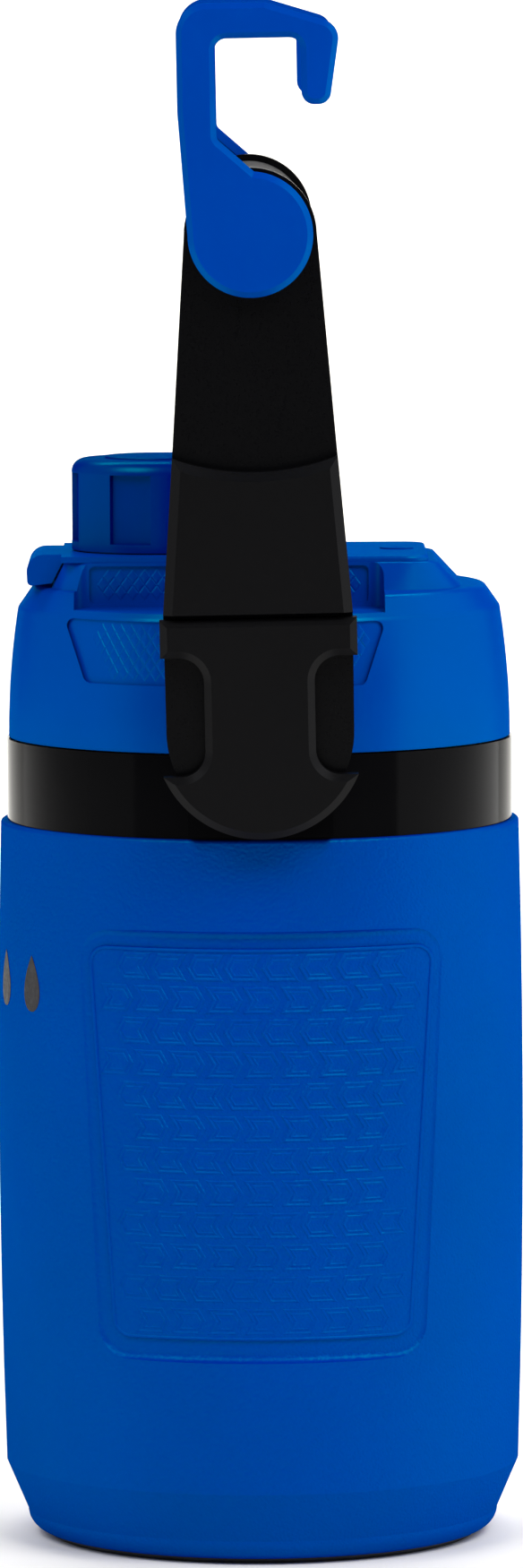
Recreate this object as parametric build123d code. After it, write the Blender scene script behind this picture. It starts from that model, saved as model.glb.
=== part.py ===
from build123d import *
import math
import os

# Insulated half-gallon water jug, in millimetres.
# +Z is up, the front (spout side) is -X, the handle's arms stand at -Y (left) and +Y (right).
# The origin is the centre of the base.

# ---- body ----
body_radius = 70.5          # at the widest height
widest_z = 120.0
body_top = 193.0
shoulder_inset = 1.0        # how much smaller the radius is at the top edge
heel_inset = 1.5            # and at the top of the heel
heel_z = 20.0
heel_bottom_inset = 7.2
heel_bottom_z = 6.7
heel_round = 4.0
heel_bend_run = 0.35        # where the heel's rounding bends, as shares of its run and its rise
heel_bend_rise = 0.3
foot_inset = 12.5           # the foot's radius against the body's
foot_height = 3.0
foot_drop = 1.5             # how far the foot stands out below the shell
foot_hollow = 0.8
foot_rim = 9.0
shell_wall = 3.8
rim_round = 0.9

# ---- side panels ----
panel_top = 169.0
panel_bottom = 55.0
recess_flatness = 6.0       # how much larger the flattened side's radius is than the body's
recess_depth = 2.1
recess_half_top = 50.6
recess_half_bottom = 44.5
recess_corner = 9.0
recess_soft = 1.9
pad_height = 0.5            # the raised pad in the recess
pad_margin_top = 4.6
pad_margin_bottom = 5.8
pad_half_top = 45.8
pad_half_bottom = 39.3
pad_corner = 4.7
pad_edge = 0.35

# ---- liner and neck ----
cavity_radius = 52.6
liner_wall = 2.0
liner_floor_z = 14.0
liner_corner = 8.0
neck_wall = 3.0
neck_rise = 23.0            # above the band's top edge
lip_height = 2.0
thread_height = 2.0
thread_stand = 1.1
thread_heights = (6.0, 15.0)   # up from the band's top edge

# ---- collar ----
band_height = 22.0
band_inset = 2.8            # the band's radius against the body's
band_wall = 2.5
collar_deck = 2.5
spigot_wall = 2.4
spigot_depth = 8.0
ear_radius = 19.0
ear_stand = 0.3             # how far the ear's outer face stands out past the body
ear_web_gap = 2.0           # between the body's top and the ear's web
ear_band_gap = 1.0          # between the ear's pad and the band's edges
pivot_rise = 7.0            # pivot axis above the band's top edge

# ---- lid ----
lid_gap = 0.4               # between the band and the lid's skirt
skirt_inset = 0.5           # the skirt's radius against the band's
ear_clearance = 0.6         # between the skirt and the ears
crease_over_neck = 12.0     # the skirt's crease above the neck
skirt_taper = 2.7
skirt_bulge = 0.7
shoulder_rise = 6.0
shoulder_taper = 4.2
shoulder_dome = 1.6
dome_fullness = 0.75
inner_crease_drop = 0.3     # for each millimetre that the outline moves in
lid_round = 2.4             # at the crease and the shoulder's edge
lid_wall = 2.2
deck_rise = 7.4             # deck top above the shoulder's edge
deck_half_width = 31.5
deck_front = 51.4
deck_back = 47.0
deck_spread = 16.0          # how much wider the deck is at its foot, on each side
deck_run = 15.0             # and how much longer at the back
deck_lead = 8.0             # and in front
deck_corner = 9.0
deck_foot_corner = 38.0
deck_edge = 1.2
scoop_front = 49.0
scoop_back = 33.0
scoop_floor_rise = 1.6      # above the crease
scoop_wall = 31.0           # from the centre plane
scoop_corner = 4.0
side_strip_depth = 0.8
side_strip_margin = 0.9
side_strip_corner = 1.5
side_strip_front = 45.0
side_strip_back = 29.0
grip_panel_half_top = 42.4
grip_panel_half_bottom = 36.8
grip_panel_shift = -9.2
grip_panel_drop = 0.4       # from the crease to the panel's top
grip_panel_height = 16.6
grip_panel_depth = 0.7
grip_panel_corner = 2.0
lid_liner_gap = 1.5         # between the neck's threads and the lid's inner wall
lid_liner_wall = 1.8
lid_liner_thread = 0.9
gasket_height = 1.8
seal_gap = 0.2

# ---- spout, strap and cap ----
spout_x = -26.0
spout_clearance = 4.0       # between the spout and the cap's bore, for the cap to swing off
spout_wall = 2.6
spout_rise = 19.0           # above the deck
spout_thread = 1.2
spout_thread_height = 1.4
spout_thread_low = 2.0
spout_rim_round = 1.0
well_clearance = 1.1        # round the cap's lip
well_depth = 2.2
strap_height = 1.6
strap_half_width = 30.5
strap_back = 45.0
strap_round = 6.0
strap_edge = 0.95
flap_lip = 10.1
flap_lip_gap = 0.6
flap_lip_drop = 6.8
flap_lip_half_width = 20.0
lip_heel = 0.8
lip_toe = 0.5
lip_nose_round = 4.6
lip_round = 1.2
flap_hinge_x = 6.0
flap_knuckle = 0.9
flap_pin_radius = 0.4
running_gap = 0.05
part_gap = 0.3
knuckle_half_length = 9.0
rivet_x = 37.0
rivet_radius = 4.5
rivet_rise = 0.4
rivet_rim = 0.3             # the rivet's height round its dish, less the dish's lowest point
cap_radius = 24.0
cap_height = 24.3
cap_lift = 0.4              # gap between the cap and the strap
cap_wall = 3.6
cap_top_wall = 2.8
cap_round = 3.6
cap_recesses = 6
cap_recess_angle = 28.0
cap_recess_turn = 9.6       # of the first recess from +X
cap_recess_depth = 2.1
cap_recess_low = 2.2
cap_recess_high = 3.7
cap_button_margin = 9.0     # between the cap's edge and the disc raised on its top
cap_button_rise = 0.6
cap_button_round = 0.4
cap_neck_wall = 1.5
cap_lip_height = 1.4
cap_lip_stand = 1.2
cap_seal_height = 1.6
cap_seal_gap = 4.9          # between the seal and the cap's bore

# ---- handle ----
handle_length = 129.6       # pivot axis to hub axis
handle_lean = 0.9           # degrees that the handle stands forward of upright
arm_gap = 0.4
arm_thickness = 4.3
cover_thickness = 7.0
hub_radius = 17.3
arm_foot_radius = 24.5
sleeve_clearance = 0.6      # between the folding hook and the sleeve's curved edge
sleeve_base_rise = 31.2     # above the pivot axis
sleeve_half_base = 24.7
sleeve_half_top = 21.4
sleeve_top_rise = 74.0
sleeve_bevel = 2.4
cover_top_rise = 29.9
cover_shoulder = 9.9
cover_half_width = 25.7
cover_neck_half = 14.4
cover_horn_drop = 11.0
cover_arc_radius = 27.7
cover_fillet = 6.5
cover_bevel = 1.9
pin_radius = 5.0
pin_head_radius = 8.0
pin_head_height = 2.0
pin_head_room = 1.0
grip_core_radius = 13.0
grip_core_bore = 8.6
grip_radius = 15.5
grip_waist = 1.2
grip_end_gap = 1.0

# ---- hooks ----
hook_gap = 0.4              # between the arm and the hook
hook_disc_radius = 16.3
hook_reach = 60.0
hook_wall = 1.7
hook_bevel = 1.5
hook_shaft_radius = 6.0
hook_boss_radius = 8.6
hook_shaft_inside = 4.6     # how far the shaft stands in past the arm
clip_height = 1.2
clip_stand = 1.8
leg_left = 18.3
leg_right = 8.3
bar_under = 50.8
finger_left = 14.0
finger_right_top = 24.4
finger_right_tip = 21.2
finger_tip = 33.4
leg_straight_rise = 32.0
leg_foot_rise = 24.9
bar_slope_start = 5.0
bar_slope_drop = 6.2
slant_end_x = 14.3
slant_end_rise = 4.6
leg_corner = 8.0
finger_corner = 5.0
throat_corner = 3.0
foot_corner = 2.0
finger_tip_round = 3.3
hook_pocket_margin = 2.3    # between the hook's outline and its hollow

# ---- screws ----
screw_radius = 1.2
screw_head_radius = 2.4
screw_head_height = 1.4
screw_length = 9.0
hub_screws = 3

# ---- for making shapes ----
spare = 1.0                 # how far a cutting shape reaches past what it cuts
joined = 0.5                # how far two shapes of one piece run into each other
touching = 0.1              # how near two positions are when they count as the same

# ---- worked out from the values above ----
foot_radius = body_radius - foot_inset
shell_bottom = foot_drop
liner_radius = cavity_radius + liner_wall
liner_bottom = liner_floor_z - liner_wall
band_radius = body_radius - band_inset
band_top = body_top + band_height
neck_radius = liner_radius + neck_wall
neck_top = band_top + neck_rise
lip_top = neck_top + lip_height
ear_inner = band_radius - skirt_inset + ear_clearance
ear_outer = body_radius + ear_stand
pivot_z = band_top + pivot_rise
hub_z = pivot_z + handle_length
arm_inner = ear_outer + arm_gap
arm_outer = arm_inner + arm_thickness
outer_face = arm_outer + cover_thickness
skirt_bottom = band_top + lid_gap
skirt_radius = band_radius - skirt_inset
crease_z = neck_top + crease_over_neck
crease_radius = skirt_radius - skirt_taper
shoulder_z = crease_z + shoulder_rise
shoulder_radius = crease_radius - shoulder_taper
deck_z = shoulder_z + deck_rise
lid_liner_under = lip_top + gasket_height + 2 * seal_gap
lid_liner_top = lid_liner_under + lid_wall
lid_liner_inner = neck_radius + thread_stand + lid_liner_gap
lid_liner_outer = lid_liner_inner + lid_liner_wall
strap_top = deck_z + strap_height
spout_top = deck_z + spout_rise
grip_panel_top = crease_z - grip_panel_drop
grip_panel_bottom = grip_panel_top - grip_panel_height
flap_hinge_z = deck_z + flap_knuckle + part_gap
cap_bottom = strap_top + cap_lift
cap_top = cap_bottom + cap_height
cap_inner = cap_radius - cap_wall
cap_neck_radius = cap_inner + cap_neck_wall
cap_button_radius = cap_radius - cap_button_margin
cap_seal_radius = cap_inner - cap_seal_gap
spout_radius = cap_inner - spout_clearance
well_radius = cap_neck_radius + cap_lip_stand + well_clearance
recess_radius = body_radius + recess_flatness
recess_centre = body_radius - recess_depth - recess_radius
hook_far = math.hypot(leg_left - leg_corner, hook_reach - leg_corner) + leg_corner


def spun(points):
    """A closed (radius, height) outline turned about the Z axis."""
    outline = Polyline([(r, 0, z) for r, z in points], close=True)
    return revolve(make_face(outline), Axis.Z)


def tube(outer, inner, low, high):
    return spun([(inner, low), (outer, low), (outer, high), (inner, high)])


def rod(radius, low, high, x=0.0):
    """An upright cylinder between two heights."""
    return Pos(x, 0, (low + high) / 2) * Cylinder(radius, high - low)


def left_slab(sketch, inner, outer):
    """An outline in (X, Z) given thickness on the left side, between two distances from the centre plane."""
    return extrude(Plane.XZ.offset(inner) * sketch, outer - inner)


def left_rod(radius, inner, outer, x, z):
    return left_slab(Pos(x, z) * Circle(radius), inner, outer)


def lean(piece):
    """Tips a handle piece forward about the pivot axis."""
    return Pos(0, 0, pivot_z) * Rot(0, -handle_lean, 0) * Pos(0, 0, -pivot_z) * piece


def right_of(piece):
    return mirror(piece, about=Plane.XZ)


def outer_face_edges(piece):
    """The edges of the flat face that is farthest out on the left side."""
    return piece.faces().sort_by(Axis.Y)[0].edges()


# ---- body pieces ----
def body_outline(inset):
    """The body's outside, moved in by an inset, as a solid with a closed bottom."""
    top_r = body_radius - shoulder_inset - inset
    heel_r = body_radius - heel_inset - inset
    low_r = body_radius - heel_bottom_inset - inset
    foot_r = low_r - heel_round
    bottom = shell_bottom + inset
    side = ThreePointArc((top_r, 0, body_top), (body_radius - inset, 0, widest_z), (heel_r, 0, heel_z))
    heel = Line((heel_r, 0, heel_z), (low_r, 0, heel_bottom_z))
    corner = ThreePointArc(
        (low_r, 0, heel_bottom_z),
        (low_r - heel_round * heel_bend_run, 0, bottom + (heel_bottom_z - bottom) * heel_bend_rise),
        (foot_r, 0, bottom),
    )
    floor = Line((foot_r, 0, bottom), (0, 0, bottom))
    middle = Line((0, 0, bottom), (0, 0, body_top))
    cover = Line((0, 0, body_top), (top_r, 0, body_top))
    return revolve(make_face([side, heel, corner, floor, middle, cover]), Axis.Z)


def side_floor(radius):
    """A barrel about an axis behind the left side's flattened zone, curved up and down as the body is."""
    side = ThreePointArc((radius - shoulder_inset, 0, body_top), (radius, 0, widest_z),
                         (radius - heel_inset, 0, heel_z))
    below = Line((radius - heel_inset, 0, heel_z), (0, 0, heel_z))
    middle = Line((0, 0, heel_z), (0, 0, body_top))
    above = Line((0, 0, body_top), (radius - shoulder_inset, 0, body_top))
    barrel = revolve(make_face([side, below, middle, above]), Axis.Z)
    return Pos(0, -recess_centre, 0) * barrel


def side_recess():
    """What is cut from the left side: a flattened zone with a soft edge, less the pad raised in it."""
    outline = make_face(Polyline([
        (-recess_half_bottom, panel_bottom), (recess_half_bottom, panel_bottom),
        (recess_half_top, panel_top), (-recess_half_top, panel_top)], close=True))
    recess = left_slab(fillet(outline.vertices(), recess_corner), body_radius / 2, body_radius + spare)
    recess -= side_floor(recess_radius)
    floor = recess.faces().filter_by(GeomType.REVOLUTION)[0]
    recess = fillet(floor.edges(), recess_soft)
    pad_top = panel_top - pad_margin_top
    pad_bottom = panel_bottom + pad_margin_bottom
    outline = make_face(Polyline([
        (-pad_half_bottom, pad_bottom), (pad_half_bottom, pad_bottom),
        (pad_half_top, pad_top), (-pad_half_top, pad_top)], close=True))
    pad = left_slab(fillet(outline.vertices(), pad_corner), body_radius / 2, body_radius)
    pad &= side_floor(recess_radius + pad_height)
    pad = chamfer(pad.faces().sort_by(Axis.Y)[0].edges(), pad_edge)
    return recess - pad


def outer_shell():
    shell = body_outline(0)
    top_edge = shell.edges().filter_by(GeomType.CIRCLE).sort_by(Axis.Z)[-1]
    shell = fillet(top_edge, rim_round)
    recess = side_recess()
    shell -= recess
    shell -= right_of(recess)
    shell -= body_outline(shell_wall)
    shell -= rod(foot_radius, 0, foot_height)
    return shell


def base_foot():
    foot = rod(foot_radius, 0, foot_height)
    foot = chamfer(foot.edges().group_by(Axis.Z)[0], foot_hollow)
    return foot - rod(foot_radius - foot_rim, 0, foot_hollow)


def inner_liner():
    liner = rod(liner_radius, liner_bottom, lip_top)
    liner = fillet(liner.edges().group_by(Axis.Z)[0], liner_corner + liner_wall)
    liner += rod(neck_radius, neck_top, lip_top)
    cavity = rod(cavity_radius, liner_floor_z, lip_top + spare)
    cavity = fillet(cavity.edges().group_by(Axis.Z)[0], liner_corner)
    return liner - cavity


def foam_core():
    foam = body_outline(shell_wall) - rod(body_radius, body_top - spigot_depth, body_top)
    foam -= rod(foot_radius, 0, foot_height)
    foam += rod(spigot_inner(), body_top - spigot_depth, band_top - collar_deck)
    liner = rod(liner_radius, liner_bottom, lip_top)
    liner = fillet(liner.edges().group_by(Axis.Z)[0], liner_corner + liner_wall)
    return foam - liner


def spigot_outer():
    return body_radius - shoulder_inset - shell_wall


def spigot_inner():
    return spigot_outer() - spigot_wall


def neck_collar():
    """The band, the neck with its threads, and an ear on each side for the handle."""
    collar = rod(band_radius, body_top, band_top)
    collar += rod(spigot_outer(), body_top - spigot_depth, body_top)
    collar -= rod(spigot_inner(), body_top - spigot_depth, band_top - collar_deck)
    collar += tube(neck_radius, liner_radius, band_top - collar_deck, neck_top)
    for height in thread_heights:
        low = band_top + height
        collar += tube(neck_radius + thread_stand, liner_radius, low, low + thread_height)
    ear = left_rod(ear_radius, liner_radius, ear_outer, 0, pivot_z)
    web_low = body_top + ear_web_gap
    web = Pos(0, (web_low + pivot_z) / 2) * Rectangle(2 * ear_radius, pivot_z - web_low)
    ear += left_slab(web, liner_radius, ear_outer)
    ear -= rod(ear_inner, body_top, pivot_z + ear_radius + spare)
    band_inner = band_radius - band_wall
    pad = Pos(0, (body_top + band_top) / 2) * Rectangle(2 * ear_radius, band_height - 2 * ear_band_gap)
    ear += left_slab(pad, band_inner, ear_outer) - rod(band_inner, 0, band_top)
    ear -= left_rod(pin_radius, 0, outer_face, 0, pivot_z)
    collar += ear
    collar += right_of(ear)
    collar -= rod(liner_radius, 0, band_top)
    return collar


def pivot_pin():
    """Left pivot pin: a headed pin pressed into the collar's ear."""
    head_inner = arm_outer + arm_gap
    pin = left_rod(pin_radius, ear_inner + part_gap, head_inner, 0, pivot_z)
    pin += left_rod(pin_head_radius, head_inner, head_inner + pin_head_height, 0, pivot_z)
    return pin


# ---- lid pieces ----
def lid_block(inset):
    """The lid's outside moved in by an inset: a round skirt, a shoulder and a raised deck."""
    crease = (crease_radius - inset, 0, crease_z - inset * inner_crease_drop)
    middle_radius = (skirt_radius + crease_radius) / 2 + skirt_bulge - inset
    middle = (middle_radius, 0, (skirt_bottom + crease_z) / 2)
    side = ThreePointArc((skirt_radius - inset, 0, skirt_bottom), middle, crease)
    slope = Line(crease, (shoulder_radius - inset, 0, shoulder_z - inset))
    crown = shoulder_z + shoulder_dome - inset
    top = ThreePointArc(
        (shoulder_radius - inset, 0, shoulder_z - inset),
        (shoulder_radius / 2, 0, shoulder_z - inset + shoulder_dome * dome_fullness),
        (0, 0, crown),
    )
    middle_line = Line((0, 0, crown), (0, 0, skirt_bottom))
    under = Line((0, 0, skirt_bottom), (skirt_radius - inset, 0, skirt_bottom))
    block = revolve(make_face([side, slope, top, middle_line, under]), Axis.Z)
    if inset == 0:
        rings = block.edges().filter_by(GeomType.CIRCLE)
        rings = rings.filter_by(lambda edge: edge.radius > shoulder_radius - spare)
        block = fillet(rings.group_by(Axis.Z)[1:], lid_round)
    foot_z = crease_z - lid_wall
    foot_front = deck_front + deck_lead
    foot_back = deck_back + deck_run
    foot = Pos((foot_back - foot_front) / 2, 0) * RectangleRounded(
        foot_front + foot_back - 2 * inset, 2 * (deck_half_width + deck_spread - inset),
        deck_foot_corner - inset)
    head = Pos((deck_back - deck_front) / 2, 0) * RectangleRounded(
        deck_front + deck_back - 2 * inset, 2 * (deck_half_width - inset), deck_corner - inset)
    deck = loft([Plane.XY.offset(foot_z) * foot, Plane.XY.offset(deck_z - inset) * head])
    if inset == 0:
        deck = fillet(deck.faces().sort_by(Axis.Z)[-1].edges(), deck_edge)
    block += deck & rod(crease_radius - inset, skirt_bottom, deck_z)
    scoop = left_scoop(inset)
    return block - scoop - right_of(scoop)


def left_scoop(inset):
    """The finger scoop on the left of the lid: the space over a ledge and outside a wall."""
    floor = crease_z + scoop_floor_rise - inset
    length = scoop_front + scoop_back + 2 * inset
    plan = Pos((scoop_back - scoop_front) / 2, -scoop_wall + inset - skirt_radius) * RectangleRounded(
        length, 2 * skirt_radius, scoop_corner)
    return extrude(Plane.XY.offset(floor) * plan, deck_z)


def grip_panel():
    """The left grip panel, a shallow tapered inset in the skirt."""
    outline = make_face(Polyline([
        (grip_panel_shift - grip_panel_half_bottom, grip_panel_bottom),
        (grip_panel_shift + grip_panel_half_bottom, grip_panel_bottom),
        (grip_panel_shift + grip_panel_half_top, grip_panel_top),
        (grip_panel_shift - grip_panel_half_top, grip_panel_top)], close=True))
    outline = fillet(outline.vertices(), grip_panel_corner)
    return left_slab(outline, skirt_radius / 2, skirt_radius + spare)


def side_strip():
    """The left inset strip along the deck's side wall."""
    low = crease_z + scoop_floor_rise + side_strip_margin
    high = deck_z - side_strip_margin
    length = side_strip_front + side_strip_back
    middle = (side_strip_back - side_strip_front) / 2
    outline = Pos(middle, (low + high) / 2) * RectangleRounded(length, high - low, side_strip_corner)
    return left_slab(outline, scoop_wall - side_strip_depth, scoop_wall + spare)


def lid_shell():
    outside = lid_block(0)
    inside = lid_block(lid_wall)
    panel_floor = spun([
        (0, skirt_bottom), (skirt_radius - grip_panel_depth, skirt_bottom),
        (skirt_radius - grip_panel_depth - skirt_taper / 3, (skirt_bottom + crease_z) / 2),
        (crease_radius - grip_panel_depth, crease_z), (crease_radius - grip_panel_depth, shoulder_z),
        (0, shoulder_z)])
    cut = grip_panel() - panel_floor
    strip = side_strip()
    outside -= cut
    outside -= right_of(cut)
    outside -= strip
    outside -= right_of(strip)
    shell = outside - inside
    shell += rod(well_radius + lid_wall, deck_z - 2 * well_depth, deck_z - lid_wall / 2, spout_x)
    shell -= rod(well_radius, deck_z - well_depth, deck_z, spout_x)
    shell -= rod(spout_radius, deck_z - 3 * well_depth, deck_z, spout_x)
    return shell


def lid_liner():
    """Inner wall of the lid, with the threads that turn on the neck."""
    liner = rod(lid_liner_outer, skirt_bottom, lid_liner_top)
    liner -= rod(lid_liner_inner, skirt_bottom, lid_liner_under)
    for height in thread_heights:
        low = band_top + height + 2 * thread_height
        liner += tube(lid_liner_inner + lid_liner_wall / 2, lid_liner_inner - lid_liner_thread,
                      low, low + thread_height)
    return liner - rod(spout_radius, lid_liner_under, lid_liner_top, spout_x)


def lid_foam():
    foam = lid_block(lid_wall) - rod(lid_liner_outer, skirt_bottom, lid_liner_top)
    foam -= rod(well_radius + lid_wall, deck_z - 2 * well_depth, deck_z, spout_x)
    foam -= rod(spout_radius, lid_liner_top, deck_z, spout_x)
    return foam


def lid_gasket():
    low = lip_top + seal_gap
    return tube(neck_radius, cavity_radius, low, low + gasket_height)


def spout():
    pipe = rod(spout_radius, lid_liner_under, spout_top, spout_x)
    for step in (0, 1):
        low = deck_z + spout_thread_low + step * 2 * thread_height
        pipe += rod(spout_radius + spout_thread, low, low + spout_thread_height, spout_x)
    pipe -= rod(spout_radius - spout_wall, lid_liner_under, spout_top, spout_x)
    top_edges = pipe.edges().group_by(Axis.Z)[-1]
    return fillet(top_edges, spout_rim_round)


def strap_outline(front, back):
    """Plan of a strip of strap between two X positions."""
    return Pos((front + back) / 2, 0) * Rectangle(back - front, 2 * strap_half_width)


def rear_strap():
    """The fixed part of the strap, riveted to the deck, with a knuckle at each side."""
    front = flap_hinge_x + flap_knuckle + part_gap
    plate = extrude(Plane.XY.offset(deck_z) * strap_outline(front, strap_back), strap_height)
    plate = fillet(plate.edges().filter_by(Axis.Z).group_by(Axis.X)[-1], strap_round)
    plate = fillet(plate.faces().sort_by(Axis.Z)[-1].edges().sort_by(Axis.X)[-3:], strap_edge)
    for side in (-1, 1):
        reach = strap_half_width - knuckle_half_length - part_gap
        middle = side * (knuckle_half_length + part_gap + reach / 2)
        plate += Pos(flap_hinge_x, middle, flap_hinge_z) * Rot(90, 0, 0) * Cylinder(flap_knuckle, reach)
        link = Box(front - flap_hinge_x + part_gap, reach, flap_knuckle)
        plate += Pos((front + flap_hinge_x + part_gap) / 2, middle, flap_hinge_z) * link
    plate -= Pos(flap_hinge_x, 0, flap_hinge_z) * Rot(90, 0, 0) * Cylinder(
        flap_pin_radius, 2 * strap_half_width)
    return plate - rod(rivet_radius / 2, deck_z, strap_top, rivet_x)


def flap_hinge_pin():
    pin = Cylinder(flap_pin_radius, 2 * strap_half_width)
    return Pos(flap_hinge_x, 0, flap_hinge_z) * Rot(90, 0, 0) * pin


def strap_rivet():
    """A dished button with a stem through the strap."""
    rivet = rod(rivet_radius / 2, deck_z, strap_top, rivet_x)
    rivet += rod(rivet_radius, strap_top, strap_top + rivet_rise, rivet_x)
    dish_radius = 2 * rivet_radius
    dish_low = strap_top + rivet_rise - rivet_rim
    return rivet - Pos(rivet_x, 0, dish_low + dish_radius) * Sphere(dish_radius)


def flap():
    """The hinged part of the strap: the ring that carries the cap, and the lift lip in front."""
    lip_back = -deck_front - flap_lip_gap
    lip_front = lip_back - flap_lip
    lip_low = strap_top - strap_height - flap_lip_drop
    back = flap_hinge_x - flap_knuckle - part_gap
    ring = extrude(Plane.XY.offset(deck_z) * strap_outline(lip_back - joined, back), strap_height)
    slope = deck_lead / (deck_z - crease_z + lid_wall)
    heel_low = lip_low + lip_heel
    lip_view = make_face(Polyline([
        (lip_back, strap_top), (lip_back, deck_z), (lip_back - slope * (deck_z - heel_low), heel_low),
        (lip_front + lip_toe, lip_low), (lip_front, strap_top)], close=True))
    lip = extrude(Plane.XZ.offset(-flap_lip_half_width) * lip_view, 2 * flap_lip_half_width)
    front_edges = lip.edges().filter_by(Axis.Y).sort_by(Axis.X)[:2].sort_by(Axis.Z)
    lip = fillet(front_edges[-1], lip_nose_round)
    lip = fillet(lip.edges().filter_by(Axis.Y).sort_by(Axis.Z)[0], lip_round)
    piece = ring + lip
    piece += Pos(flap_hinge_x, 0, flap_hinge_z) * Rot(90, 0, 0) * Cylinder(
        flap_knuckle, 2 * knuckle_half_length)
    link = Box(flap_knuckle + 2 * part_gap, 2 * knuckle_half_length, flap_knuckle)
    piece += Pos(back + flap_knuckle / 2, 0, flap_hinge_z) * link
    piece -= Pos(flap_hinge_x, 0, flap_hinge_z) * Rot(90, 0, 0) * Cylinder(
        flap_pin_radius + running_gap, 2 * strap_half_width)
    return piece - rod(cap_neck_radius + part_gap, deck_z - spare, strap_top + spare, spout_x)


def cap_shell():
    cap = rod(cap_radius, cap_bottom, cap_top)
    cap = fillet(cap.edges().group_by(Axis.Z)[-1], cap_round)
    cap += rod(cap_button_radius, cap_top, cap_top + cap_button_rise)
    cap = fillet(cap.edges().group_by(Axis.Z)[-1], cap_button_round)
    low = cap_bottom + cap_recess_low
    high = cap_top - cap_recess_high
    half = math.radians(cap_recess_angle / 2)
    reach = 2 * cap_radius
    wedge = make_face(Polyline([
        (0, 0), (reach * math.cos(half), -reach * math.sin(half)),
        (reach * math.cos(half), reach * math.sin(half))], close=True))
    wedge = extrude(Plane.XY.offset(low) * wedge, high - low)
    wedge -= Pos(0, 0, (low + high) / 2) * Box(
        2 * (cap_radius - cap_recess_depth), 2 * cap_radius, high - low)
    for step in range(cap_recesses):
        cap -= Rot(0, 0, cap_recess_turn + step * 360 / cap_recesses) * wedge
    low_lip = cap_bottom - cap_lift - strap_height - part_gap - cap_lip_height
    cap += rod(cap_neck_radius, low_lip, cap_bottom)
    cap += rod(cap_neck_radius + cap_lip_stand, low_lip, low_lip + cap_lip_height)
    cap -= rod(cap_inner, low_lip, cap_top - cap_top_wall)
    return Pos(spout_x, 0, 0) * cap


def cap_seal():
    top = cap_top - cap_top_wall
    return rod(cap_seal_radius, top - cap_seal_height, top, spout_x)


# ---- handle pieces, all on the left side and upright until they are leant ----
def arm():
    """Flat arm from the pivot to the hub."""
    side = [
        (-arm_foot_radius, pivot_z), (-sleeve_half_base, pivot_z + sleeve_base_rise),
        (-sleeve_half_top, pivot_z + sleeve_top_rise), (-hub_radius, hub_z),
        (hub_radius, hub_z), (sleeve_half_top, pivot_z + sleeve_top_rise),
        (sleeve_half_base, pivot_z + sleeve_base_rise), (arm_foot_radius, pivot_z)]
    outline = make_face(Polyline(side, close=True))
    outline += Pos(0, pivot_z) * Circle(arm_foot_radius)
    outline += Pos(0, hub_z) * Circle(hub_radius)
    plate = left_slab(outline, arm_inner, arm_outer)
    plate -= left_rod(pin_radius + running_gap, 0, outer_face, 0, pivot_z)
    plate -= left_rod(hook_shaft_radius + running_gap, 0, outer_face, 0, hub_z)
    return plate


def sleeve():
    """The thick part of the arm, its top edge curved to clear the hook."""
    base = pivot_z + sleeve_base_rise
    top = pivot_z + sleeve_top_rise
    outline = make_face(Polyline([
        (-sleeve_half_base, base), (sleeve_half_base, base),
        (sleeve_half_top, top), (-sleeve_half_top, top)], close=True))
    outline -= Pos(0, hub_z) * Circle(hook_far + sleeve_clearance)
    block = left_slab(outline, arm_outer, outer_face)
    edges = outer_face_edges(block).sort_by(Axis.Z)[1:]
    return chamfer(edges, sleeve_bevel)


def pivot_cover():
    """Anchor-shaped cover over the pivot pin."""
    top = pivot_z + cover_top_rise
    shoulder = top - cover_shoulder
    horn = pivot_z - cover_horn_drop
    outline = Pos(0, (top + shoulder) / 2) * Rectangle(2 * cover_half_width, top - shoulder)
    outline += Pos(0, (shoulder + horn) / 2) * Rectangle(2 * cover_neck_half, shoulder - horn)
    below = Pos(0, horn - cover_arc_radius) * Rectangle(3 * cover_arc_radius, 2 * cover_arc_radius)
    outline += (Pos(0, pivot_z) * Circle(cover_arc_radius)) & below
    corners = [v for v in outline.vertices() if abs(abs(v.X) - cover_neck_half) < touching]
    outline = fillet(corners, cover_fillet)
    block = left_slab(outline, arm_outer, outer_face)
    block = chamfer(outer_face_edges(block), cover_bevel)
    room = arm_gap + pin_head_height + arm_gap
    return block - left_rod(pin_head_radius + pin_head_room, arm_outer, arm_outer + room, 0, pivot_z)


def grip_core():
    core = Pos(0, 0, hub_z) * Rot(90, 0, 0) * Cylinder(grip_core_radius, 2 * arm_inner)
    return core - Pos(0, 0, hub_z) * Rot(90, 0, 0) * Cylinder(grip_core_bore, 2 * arm_inner)


def grip_sleeve():
    """Soft grip, a little waisted in the middle."""
    half = arm_inner - grip_end_gap
    side = ThreePointArc((grip_radius, -half, 0), (grip_radius - grip_waist, 0, 0), (grip_radius, half, 0))
    far = Line((grip_radius, half, 0), (grip_core_radius, half, 0))
    bore = Line((grip_core_radius, half, 0), (grip_core_radius, -half, 0))
    near = Line((grip_core_radius, -half, 0), (grip_radius, -half, 0))
    soft = revolve(make_face([side, far, bore, near]), Axis.Y)
    return Pos(0, 0, hub_z) * soft


def screw(inner_end, head_at_inner, x, z):
    """A countersunk screw along Y on the left side."""
    if head_at_inner:
        shank = left_rod(screw_radius, inner_end, inner_end + screw_length, x, z)
        head = left_rod(screw_head_radius, inner_end, inner_end + screw_head_height, x, z)
    else:
        shank = left_rod(screw_radius, arm_outer - screw_length, arm_outer, x, z)
        head = left_rod(screw_head_radius, arm_outer - screw_head_height, arm_outer, x, z)
    return shank + head


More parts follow.
